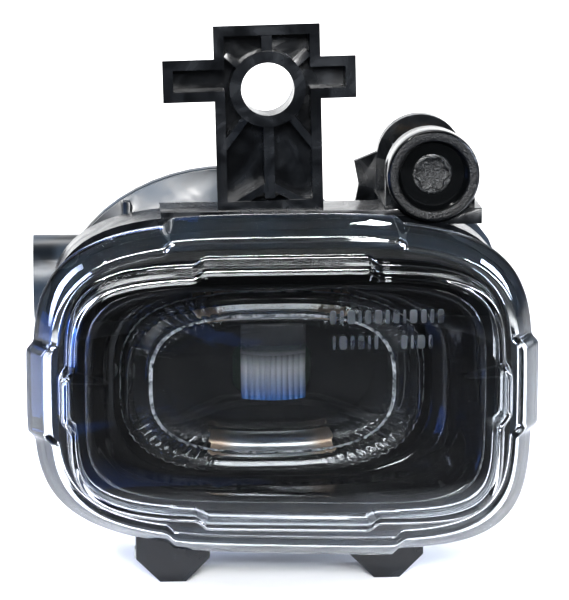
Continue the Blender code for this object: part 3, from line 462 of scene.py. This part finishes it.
# From the pane over the step, the flange ring and the skirt, then back up the inside.
lens_stack = [
    (tighter(PANE, 12.0), None, PANE_FRONT), (tighter(PANE, 2.0), PANE_BUMP, PANE_FRONT),
    (tighter(PANE, 1.1), PANE_BUMP, -7.28), (tighter(PANE, 0.6), PANE_BUMP, -7.12),
    (tighter(PANE, 0.25), PANE_BUMP, -6.85), (tighter(PANE, 0.05), PANE_BUMP, -6.4),
    (PANE, PANE_BUMP, -5.9), (tighter(STEP, 0.15), PANE_BUMP, -1.0),
    (tighter(STEP, 0.05), PANE_BUMP, -0.35), (tighter(STEP, -0.25), PANE_BUMP, -0.06),
    (tighter(STEP, -0.6), PANE_BUMP, 0.0), (tighter(RING, 1.0), BACK_BUMP, 0.0),
    (tighter(RING, 0.45), BACK_BUMP, 0.03), (tighter(RING, 0.1), BACK_BUMP, 0.2),
    (tighter(RING, -0.2), BACK_BUMP, 0.5), (tighter(BACK, 1.2), BACK_BUMP, 4.0),
    (tighter(BACK, 0.15), BACK_BUMP, 5.9), (BACK, BACK_BUMP, 6.2), (BACK, BACK_BUMP, 6.42),
    (tighter(BACK, 0.1), BACK_BUMP, 6.5), (tighter(BACK, 2.1), BACK_BUMP, 6.5),
    (tighter(BACK, 2.2), BACK_BUMP, 6.4), (tighter(RING, 1.5), BACK_BUMP, 2.6),
    (tighter(RING, 1.9), BACK_BUMP, 2.25), (tighter(RING, 2.4), None, 2.2),
    (tighter(STEP, 1.0), PANE_BUMP, 2.2), (tighter(STEP, 1.3), PANE_BUMP, 1.9),
    (tighter(PANE, 1.25), PANE_BUMP, -5.2), (tighter(PANE, 1.5), PANE_BUMP, -5.75),
    (tighter(PANE, 2.1), PANE_BUMP, -5.95), (tighter(PANE, 12.0), None, -5.95)]


def clear_finish(name, tint, ior, gloss, wave_mm, wave_depth):
    """Clear moulded plastic: a faint tint, slight mould waviness and hairline gloss changes."""
    made, tree, place = finish_named(name, IOR=ior, Transmission_Weight=1.0)
    wave = add(tree, "TexNoise", {"Scale": 1 / (wave_mm * MM), "Detail": 1.0}, {"Vector": place})
    haze = add(tree, "TexNoise", {"Scale": 1 / (6 * MM), "Detail": 2.0}, {"Vector": place})
    rough = add(tree, "MapRange", {"From Min": 0.4, "From Max": 0.7, "To Min": gloss[0],
                                   "To Max": gloss[1]}, {"Value": haze})
    bump = add(tree, "Bump", {"Strength": 0.6, "Distance": wave_depth * MM}, {"Height": wave})
    tone = add(tree, "Mix", {"data_type": "RGBA", 6: tint[0], 7: tint[1]}, {0: haze}, out=2)
    feed(tree, Base_Color=tone, Roughness=rough, Normal=bump)
    return made


polycarbonate = clear_finish("clear polycarbonate", ("#fbfdfe", "#f4f8fb"), 1.58, (0.0, 0.03),
                             3.5, 0.012)
put("front_lens", woven("front_lens", rings(lens_stack)), "lamp", polycarbonate, "outer_lens",
    slot="clear_lens")


# ---- raised bars ---------------------------------------------------------------------------
# Two rows of plain raised bars on the front of the pane, in place of the maker's lettering;
# moulded with the pane, with a frosted skin that catches the light.

BAR_TALL, BAR_RISE, BAR_GAP, BAR_SIDES = 2.9, 0.35, 0.75, 24
# Left end, level and widths of each run of bars, in millimetres from the lens centre.
BAR_RUNS = ((8.6, 17.6, (1.3, 0.8, 1.6, 0.6, 1.2, 1.6, 0.8, 1.3, 0.6, 1.6, 1.2, 0.8, 1.3)),
            (9.2, 12.2, (0.6, 1.6, 0.8, 1.3, 0.6, 0.8)), (23.4, 12.2, (1.3, 0.6, 1.6, 0.8)))


def bar_points(middle_x, level, wide):
    """Pillow: a superellipse of squareness 4 that shrinks as it rises off the pane."""
    turn = np.linspace(0, 2 * pi, BAR_SIDES, endpoint=False)
    across = np.sign(np.cos(turn)) * abs(np.cos(turn)) ** 0.5
    upright = np.sign(np.sin(turn)) * abs(np.sin(turn)) ** 0.5
    layers = [np.stack([middle_x + across * (wide / 2 - cut), PANE_FRONT - up + 0 * turn,
                        level + upright * (BAR_TALL / 2 - cut)], axis=-1)
              for cut, up in ((0, -0.1), (0, 0.1), (0.08, BAR_RISE), (0.25, BAR_RISE))]
    return np.array(layers) * MM + LENS_CENTRE


joined = bmesh.new()
for left, level, widths in BAR_RUNS:
    for wide in widths:
        one = woven("bar", bar_points(left + wide / 2, level, wide))
        joined.from_mesh(one)
        bpy.data.meshes.remove(one)
        left += wide + BAR_GAP
bars = bpy.data.meshes.new("bars")
joined.to_mesh(bars)
joined.free()
frosted_skin = clear_finish("frosted polycarbonate", ("#f6fafd", "#dfe6ee"), 1.58, (0.25, 0.5),
                            0.6, 0.08)
put("pane_marks", bars, "lamp", frosted_skin)


# ---- bezel ---------------------------------------------------------------------------------
# Black high-gloss ABS well between the lens and the inner optic: a rounded lip, a deep flared
# wall and a rolled edge round the optic. Straight from a polished mould, so it mirrors.

OPTIC_X = -2.2


def loop_of(stack):
    """Grid of points from (size, depth, centre x, slant) rows: a superellipse at each depth."""
    layers = []
    for size, y, centre, slant in stack:
        x, z = outline(size, None, 480, slant, (centre, 0))
        layers.append(np.stack([x, np.full_like(x, y), z], axis=-1))
    return np.array(layers) * MM + LENS_CENTRE


def well_row(share):
    """Wall of the well from the lip, share 0, to the optic, share 1: it narrows almost evenly
    while its depth follows a quarter of a sine wave."""
    size = (41.1 - 6.5 * share ** 1.15, 22.7 - 0.8 * share, 4.2 - 1.1 * share)
    depth = -1.2 + 12.4 * np.sin(share * pi / 2) ** 1.1
    return size, depth, OPTIC_X * share, share < 0.3


lip = [((42.5, 23.9, 4.6), -1.1, 0, True), ((42.3, 23.7, 4.5), -1.8, 0, True),
       ((41.9, 23.3, 4.4), -2.2, 0, True), ((41.5, 23.0, 4.3), -2.0, 0, True)]
rolled_edge = [((34.2, 21.7, 3.1), 11.6, OPTIC_X, False),
               ((34.0, 21.6, 3.1), 12.2, OPTIC_X, False),
               ((34.0, 21.6, 3.1), 13.6, OPTIC_X, False)]
outside = [((41.2, 27.0, 4.2), 13.6, 0, False), ((41.2, 27.0, 4.2), 12.4, 0, False),
           ((38.9, 23.8, 3.5), 9.0, OPTIC_X / 2, False), ((41.9, 23.6, 4.5), 0.2, 0, True)]
bezel_stack = lip + [well_row(share) for share in np.linspace(0, 1, 12)] + rolled_edge + outside
gloss_abs = moulded("high-gloss black ABS", "#040405", "#0b0908", (0.04, 0.1), 0.6, 0.001, 14.0)
put("bezel_well", woven("bezel", loop_of(bezel_stack), closed=True), "lamp", gloss_abs, "bezel",
    slot="gloss_black")


# ---- inner optic ---------------------------------------------------------------------------
# Clear acrylic collimator: a dished front with a stepped rim, prism flutes round its corners
# and a hollow back. Its two moulded edges are frosted and painted pale in broken lines, as painted
# highlights.

OPTIC_SIDES, OPTIC_FLUTES = 600, 88
# Rows of the rim that carry the painted highlight lines.
PAINTED_HIGHLIGHT_ROWS = (4, 12)


def optic_rows():
    """(half width, half height, depth) in millimetres, from the middle of the optic's front,
    over the stepped rim, to its hollow back."""
    front = [(6.0, 3.0, 11.2), (14.0, 7.2, 10.6), (20.0, 11.0, 9.9), (24.0, 13.6, 9.3),
             (25.6, 14.8, 9.0), (26.4, 15.4, 9.3), (26.8, 15.7, 10.3), (27.4, 16.1, 10.6),
             (29.6, 17.9, 10.2), (30.6, 18.8, 10.0), (31.4, 19.5, 10.2), (32.0, 20.0, 10.8),
             (32.5, 20.4, 11.6), (32.8, 20.6, 12.4), (32.9, 20.7, 13.4), (32.9, 20.7, 23.6),
             (32.8, 20.6, 23.9), (32.4, 20.2, 24.0)]
    back = [(30.5, 18.3, 24.0), (30.3, 18.1, 23.8), (30.2, 18.0, 13.8), (29.9, 17.7, 13.4),
            (27.0, 15.0, 13.2), (25.4, 13.9, 12.9), (20.0, 10.6, 13.4), (12.0, 6.2, 14.6),
            (5.0, 2.6, 15.0)]
    return front + back


def optic_points():
    """Superellipses of squareness 2.9 at each depth. A cosine of 88 waves, times an easing
    that is 1 only at the corners, presses prism flutes into the rim."""
    layers = []
    for half_x, half_z, y in optic_rows():
        x, z = outline((half_x, half_z, 2.9), None, OPTIC_SIDES, False)
        corner = smooth((abs(x / half_x) * abs(z / half_z) - 0.34) / 0.16)
        turn = np.arctan2(z / half_z, x / half_x)
        flute = corner * (0.5 + 0.5 * np.cos(turn * OPTIC_FLUTES)) * (26 < half_x) * (y < 16)
        depth = y + 0.3 * flute
        shrink = 1 - 0.008 * flute
        layers.append(np.stack([x * shrink + OPTIC_X, depth, z * shrink], axis=-1))
    return np.array(layers) * MM + LENS_CENTRE


def edge_lines(made, sides, rows, finish):
    """Gives the faces between a row of points and the next their own finish."""
    made.data.materials.append(finish)
    which = np.zeros(len(made.data.polygons), np.int32)
    for row in rows:
        which[row * sides:(row + 1) * sides] = 1
    made.data.polygons.foreach_set("material_index", which)


acrylic = clear_finish("clear acrylic", ("#fdfdfd", "#f4f6f8"), 1.49, (0.0, 0.02), 5.0, 0.02)
# Painted highlight: an opaque finish, dark grey to white in broken patches, for the glints along
# the rim.
frosted = moulded("frosted edge with painted highlight", "#2a3036", "#ffffff", (0.2, 0.45), 0.2, 0.02, 2.2)
collimator = put("collimator", woven("collimator", optic_points()), "lamp", acrylic,
                 "inner_optic", slot="clear_lens")
edge_lines(collimator, OPTIC_SIDES, PAINTED_HIGHLIGHT_ROWS, frosted)


# ---- light guide ---------------------------------------------------------------------------
# Clear acrylic block in front of the LED row, with fine upright flutes over a crowned and
# dished front. The lower part of the flutes is hazed and painted pale and then blue: a painted
# reflection.

GUIDE_FLUTES, GUIDE_HALF_X, GUIDE_HALF_Z = 11, 7.0, 8.5
GUIDE_X, GUIDE_Z, GUIDE_FRONT, GUIDE_BACK = -1.6, 3.6, 17.2, 22.6


def guide_points():
    """Front depth is a parabola crown, less a rectified sine for each flute, plus a parabola
    dish from top to bottom. The back is flat, and both ends pinch in by a steep power."""
    share = np.linspace(0, 1, 12 * GUIDE_FLUTES + 1)
    crown = 2.6 * (1 - (2 * share - 1) ** 2)
    flute = 0.4 * abs(np.sin(pi * GUIDE_FLUTES * share))
    across = np.concatenate([(2 * share - 1) * GUIDE_HALF_X, [6.85, -6.85]]) + GUIDE_X
    deep = np.concatenate([GUIDE_FRONT - crown - flute, [GUIDE_BACK, GUIDE_BACK]])
    level = GUIDE_HALF_Z * np.sin(np.linspace(-pi / 2, pi / 2, 25))[:, None]
    dish = 1.5 * (1 - (level / GUIDE_HALF_Z) ** 2)
    pinch = 1 - 0.015 * (abs(level) / GUIDE_HALF_Z) ** 12
    return np.stack([pinch * across, deep + dish * (deep < 20), level + GUIDE_Z + 0 * deep],
                    axis=-1) * MM + LENS_CENTRE


def between(tree, height, low, high):
    """0 below one height and 1 above the other, in millimetres from the lens centre."""
    ends = {"From Min": LENS_CENTRE[2] + low * MM, "From Max": LENS_CENTRE[2] + high * MM}
    return add(tree, "MapRange", ends, {"Value": height})


fluted = clear_finish("fluted acrylic with painted reflection", ("#f6fbff", "#e9f2fb"), 1.49, (0.02, 0.08), 2.0, 0.02)
tree = fluted.node_tree
height = add(tree, "SeparateXYZ", {}, {"Vector": add(tree, "TexCoord", out="Object")}, out="Z")
# Painted reflection: lower down, the flutes are made less clear and coloured pale, then blue.
clear = add(tree, "MapRange", {"To Min": 0.2, "To Max": 0.95},
            {"Value": between(tree, height, 2, 6)})
tone = add(tree, "Mix", {"data_type": "RGBA", 6: "#5f95e0", 7: "#ffffff"},
           {0: between(tree, height, -4.5, 1)}, out=2)
feed(tree, Base_Color=tone, Transmission_Weight=clear)
put("fluted_guide", woven("fluted_guide", guide_points()), "lamp", fluted, "light_guide",
    slot="clear_lens")


# ---- reflector strips ----------------------------------------------------------------------
# Aluminised strips above and below the optic, vacuum coated on bowed plastic; the coating is
# warm white at the square ends and mirror bright amid the run.

OPTIC_MIDDLE = LENS_CENTRE[0] + OPTIC_X * MM


def silvered_finish():
    """Vacuum-coated aluminium: bright middle, dull warm ends past 7 to 11 mm from the middle,
    and faint lengthwise streaks."""
    made, tree, place = finish_named("vacuum-coated aluminium", Metallic=1.0)
    drawn = add(tree, "Mapping", {"Scale": (0.05, 1, 1)}, {"Vector": place})
    streak = add(tree, "TexNoise", {"Scale": 1 / (0.5 * MM), "Detail": 2.0}, {"Vector": drawn})
    apart = add(tree, "SeparateXYZ", {}, {"Vector": place}, out="X")
    off = add(tree, "Math", {"operation": "SUBTRACT", 1: OPTIC_MIDDLE}, {0: apart})
    far = add(tree, "Math", {"operation": "ABSOLUTE"}, {0: off})
    dull = add(tree, "MapRange", {"From Min": 7 * MM, "From Max": 11 * MM}, {"Value": far})
    rough = add(tree, "MapRange", {"To Min": 0.3, "To Max": 0.5}, {"Value": dull})
    bump = add(tree, "Bump", {"Strength": 0.6, "Distance": 0.03 * MM}, {"Height": streak})
    tone = add(tree, "Mix", {"data_type": "RGBA", 6: "#f4f6f8", 7: "#d8bfa8"}, {0: dull}, out=2)
    feed(tree, Base_Color=tone, Roughness=rough, Normal=bump)
    return made


silvered = silvered_finish()
STRIP_Z, STRIP_BOW = 16.1, 0.9


def strip_points(side, half):
    """One cross-section carried along x, from minus half to half, and bowed towards the middle
    of the lamp by the square of the way along. Its front is a steep rounded band."""
    along = np.linspace(-half, half, 49)[:, None]
    bow = STRIP_BOW * (along / half) ** 2
    depth = np.array([[14.5, 14.6, 14.9, 15.4, 16.2, 22.6, 22.7, 16.4, 15.8, 15.3, 15.0, 14.8]])
    level = np.array([[-1.8, -0.9, 0.1, 1.0, 1.6, 1.7, 1.4, 1.3, 0.8, 0.0, -0.9, -1.9]])
    return np.stack([along + 0 * depth + OPTIC_X, depth + 0 * along,
                     side * (STRIP_Z - bow) + level], axis=-1) * MM + LENS_CENTRE


for name, side, half in (("upper_reflector_strip", 1, 16.2), ("lower_reflector_strip", -1, 13.4)):
    put(name + "_coated", woven(name, strip_points(side, half)), "lamp", silvered, name,
        slot="silvered")


# ---- holder, boards and light source -------------------------------------------------------
# Black holder plate; green glass-epoxy board with three phosphor-covered LEDs; cast aluminium
# heat sink on a grey silicone pad; driver board with its coil and capacitor.

softened("optic_holder", "holder_plate", "lamp", gloss_abs, 0.2 * MM, "gloss_black")


def board_finish():
    """Glass-epoxy board: fields of copper under green resist, parted by narrow darker gaps,
    over a fine weave."""
    made, tree, place = finish_named("green glass-epoxy", IOR=1.5)
    lanes = add(tree, "TexBrick", {"Scale": 1 / (6 * MM), "Mortar Size": 0.03,
                                   "Color1": (1, 1, 1, 1), "Color2": (0.7, 0.7, 0.7, 1),
                                   "Mortar": (0, 0, 0, 1)}, {"Vector": place})
    weave = add(tree, "TexNoise", {"Scale": 1 / (0.4 * MM)}, {"Vector": place})
    rough = add(tree, "MapRange", {"To Min": 0.3, "To Max": 0.45}, {"Value": weave})
    bump = add(tree, "Bump", {"Strength": 0.5, "Distance": 0.04 * MM}, {"Height": lanes})
    tone = add(tree, "Mix", {"data_type": "RGBA", 6: "#0a2a18", 7: "#0f4024"}, {0: lanes}, out=2)
    feed(tree, Base_Color=tone, Roughness=rough, Normal=bump)
    return made


green_board = board_finish()
cast = metal("cast aluminium", "#8e9193", "#b9bcbe", (0.38, 0.55), 0.5, 0.03)
yellow = moulded("yellow phosphor", "#caa426", "#e6c848", (0.5, 0.65), 0.15, 0.02, 1.5)
silicone = moulded("grey silicone pad", "#66686b", "#7d8083", (0.7, 0.85), 0.3, 0.01, 3.0)
softened("heat_sink", "heat_sink_cast", "lamp", cast, 0.3 * MM, "aluminium")
for node, finish in (("led_board", green_board), ("driver_board", green_board),
                     ("thermal_pad", silicone)):
    refinish(node, finish)
for number in (1, 2, 3):
    softened(f"led_chip_{number}", f"led_{number}", "lamp", yellow, 0.25 * MM, "led_phosphor")
softened("driver_coil", "driver_coil_can", "lamp", zinc, 0.4 * MM, "plated_steel")
softened("driver_capacitor", "driver_capacitor_can", "lamp", cast, 0.4 * MM, "aluminium")


# ---- connector -----------------------------------------------------------------------------
# Two-way socket moulded in the rear cover: a black nylon insert and two brass blades, pressed
# in. Its seal is with the other seals.

softened("connector_insert", "socket_insert", "lamp", nylon, 0.2 * MM, "black_moulding")
for number in (1, 2):
    softened(f"connector_pin_{number}", f"socket_blade_{number}", "lamp", brass, 0.15 * MM,
             "brass")


# ---- floor, light and camera ---------------------------------------------------------------
# Pale seamless sweep of paper under soft boxes. A dark oval of painted shade on it, in front
# of the lamp, keeps the pane from mirroring the pale floor.

PAPER_WIDE, PAPER_FRONT, PAPER_BEND, BEND_RADIUS, WALL_TOP = 3.0, -3.0, 0.75, 0.5, 3.0
# Centre and half sizes of the oval of painted shade on the paper.
SHADE_OVAL_CENTRE, SHADE_OVAL_HALF = (-0.02, -0.29, 0), (0.26, 0.235, 1e6)


def sweep():
    """Paper: flat in front, then a quarter circle up into a wall behind, as a ruled surface."""
    turn = np.linspace(0, pi / 2, 25)
    run = np.concatenate([[PAPER_FRONT, -0.6, 0.3], PAPER_BEND + BEND_RADIUS * np.sin(turn),
                          [PAPER_BEND + BEND_RADIUS]])
    rise = np.concatenate([[0, 0, 0], BEND_RADIUS * (1 - np.cos(turn)), [WALL_TOP]])
    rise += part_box("mount_bracket")[0].z
    count = len(run)
    edge = np.stack([run, rise], axis=-1)
    cloud = np.vstack([np.insert(edge, 0, x, axis=1) for x in (-PAPER_WIDE, PAPER_WIDE)])
    first = np.arange(count - 1)
    faces = np.stack([first, count + first, count + first + 1, first + 1], axis=-1)
    mesh = bpy.data.meshes.new("paper")
    mesh.from_pydata(cloud.tolist(), [], faces.tolist())
    mesh.shade_smooth()
    made = bpy.data.objects.new("paper", mesh)
    scene.collection.objects.link(made)
    return made


paper, tree, place = finish_named("seamless paper with painted shade", Roughness=0.9)
tooth = add(tree, "TexNoise", {"Scale": 1 / (3 * MM), "Detail": 2.0}, {"Vector": place})
# Painted shade: the paper is dark inside an oval in front of the lamp, so that the pane mirrors
# dark.
shade_oval_place = add(tree, "Mapping", {"vector_type": "TEXTURE", "Location": SHADE_OVAL_CENTRE,
                             "Scale": SHADE_OVAL_HALF}, {"Vector": place})
reach = add(tree, "VectorMath", {"operation": "LENGTH"}, {0: shade_oval_place}, out="Value")
on_shade_oval = add(tree, "MapRange", {"From Min": 1.0, "From Max": 0.9}, {"Value": reach})
pale = add(tree, "Mix", {"data_type": "RGBA", 6: "#f7f8f9", 7: "#fdfdfd"}, {0: tooth}, out=2)
tone = add(tree, "Mix", {"data_type": "RGBA", 7: "#1c1e20"}, {0: on_shade_oval, 6: pale}, out=2)
feed(tree, Base_Color=tone)
floor = sweep()
floor.data.materials.append(paper)


def soft_box(name, place, aim, size, watts, spread, colour="#ffffff"):
    """An oblong area light at a place, facing another; spread is its beam in degrees."""
    light = bpy.data.lights.new(name, "AREA")
    light.shape = "RECTANGLE"
    light.size, light.size_y = size
    light.energy, light.spread = watts, radians(spread)
    light.color = linear(colour)[:3]
    made = bpy.data.objects.new(name, light)
    scene.collection.objects.link(made)
    made.location = place
    made.rotation_euler = (Vector(aim) - Vector(place)).to_track_quat("-Z", "Y").to_euler()


HEART, LENS = (0, 0, -0.05), (0, 0, -0.06)
# The wall and floor behind, so that they show white.
soft_box("background_box", (0, 0.75, 1.0), (0, 0.85, 0), (1.6, 0.5), 12.0, 110)
# From above, both sides and the front: the light of the object itself.
soft_box("top_box", (0.13, 0.2, 0.62), (0.03, 0.02, -0.05), (0.05, 0.06), 0.03, 42)
soft_box("left_strip", (-0.7, 0.12, 0.25), LENS, (0.1, 0.7), 0.9, 60, "#cfdcff")
soft_box("right_strip", (0.7, 0.1, 0.3), LENS, (0.08, 0.5), 0.8, 60, "#dfe9ff")
soft_box("front_box", (-0.1, -0.9, 0.35), HEART, (0.5, 0.2), 1.0, 40)
# Low blue lights on the left, for the streaks in the well and on the feet.
soft_box("blue_strip", (-0.17, -0.09, -0.07), (0.03, -0.02, -0.06), (0.2, 0.07), 0.03, 90,
         "#5f92ff")
soft_box("blue_panel", (-0.04, -0.1, -0.104), (-0.03, -0.08, 0.0), (0.08, 0.06), 0.012, 120,
         "#5f92ff")
# Small lights for the sparkle of the optic's edges.
soft_box("key_spot", (-0.45, -0.75, 0.75), HEART, (0.05, 0.05), 0.3, 30)
soft_box("low_spot", (0.35, -0.8, 0.2), HEART, (0.05, 0.05), 0.08, 30, "#eaf2ff")
world = bpy.data.worlds.new("studio")
world.use_nodes = True
air = world.node_tree.nodes["Background"].inputs
air["Color"].default_value, air["Strength"].default_value = linear("#dfe6ee"), 0.1
scene.world = world
scene.view_settings.view_transform = "Standard"
scene.view_settings.look = "Medium High Contrast"

# A long lens, 4 degrees to the left of the lamp's axis and 12 degrees above it.
CAMERA_TURN, CAMERA_RISE = radians(-4.0), radians(12.0)
camera = bpy.data.objects.new("camera", bpy.data.cameras.new("camera"))
scene.collection.objects.link(camera)
back = Vector((np.sin(CAMERA_TURN) * np.cos(CAMERA_RISE),
               -np.cos(CAMERA_TURN) * np.cos(CAMERA_RISE), np.sin(CAMERA_RISE)))
camera.location = (-0.038371, -0.607399, 0.082090)
camera.rotation_mode = "QUATERNION"
camera.rotation_quaternion = (-back).to_track_quat("-Z", "Y")
camera.data.sensor_width = 36.0
camera.data.lens = 171.42
camera.data.clip_start, camera.data.clip_end = 0.01, 20.0
scene.camera = camera
